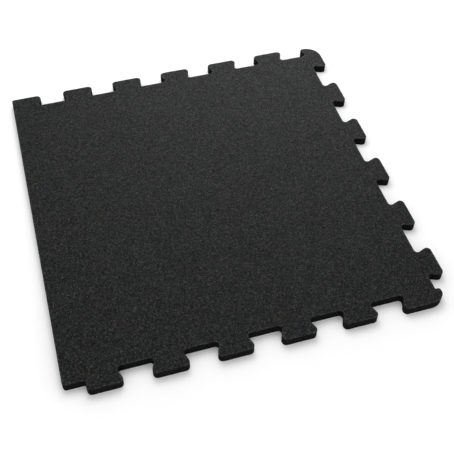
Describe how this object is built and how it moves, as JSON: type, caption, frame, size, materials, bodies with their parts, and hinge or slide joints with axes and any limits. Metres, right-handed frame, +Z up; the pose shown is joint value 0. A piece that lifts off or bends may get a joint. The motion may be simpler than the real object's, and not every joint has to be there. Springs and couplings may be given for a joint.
{
  "type": "rubber edge tile",
  "caption": "Flat rubber floor tile with a straight outer edge and rounded dovetail knobs along its other sides that lock it to neighbouring tiles.",
  "frame": {"origin": "middle of the underside, centred on the overall length and width", "axes": "+Z up out of the walking face, +X from the straight edge to the knobs opposite it, +Y along the straight edge towards its half knob"},
  "size_m": [1, 1.044, 0.025],
  "materials": {
    "rubber": "matt charcoal bonded granules, fine open grain"
  },
  "bodies": {
    "root": {"rubber_tile": "rubber"}
  },
  "joints": []
}
